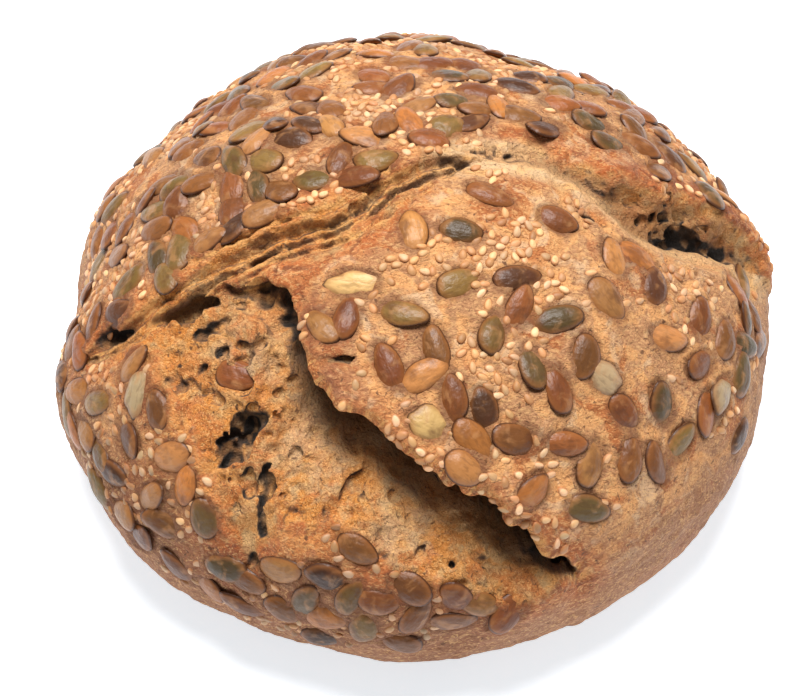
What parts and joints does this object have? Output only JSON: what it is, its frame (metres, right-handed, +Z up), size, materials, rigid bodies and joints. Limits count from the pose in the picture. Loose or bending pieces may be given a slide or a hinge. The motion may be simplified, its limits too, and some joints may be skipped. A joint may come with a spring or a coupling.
{
  "type": "seeded multigrain loaf",
  "caption": "Round crusty bread loaf with a torn, lifted top crust, exposed crumb, and pumpkin and sesame seeds baked onto it; flat underneath.",
  "frame": {"origin": "centre of the flat base the loaf rests on", "axes": "+Z up from the base, +Y toward the loaf's back, +X to its right; the wide tear with its lifted lip faces -Y"},
  "size_m": [0.1868, 0.1923, 0.0934],
  "materials": {
    "crust": "baked bread crust, golden tan with toasted ridges, matt with a dusting of flour",
    "pumpkin_seed": "roasted pumpkin seed, olive to dark brown, satin",
    "sesame_seed": "hulled sesame seed, cream, satin"
  },
  "bodies": {
    "root": {"loaf": "crust"}
  },
  "joints": []
}
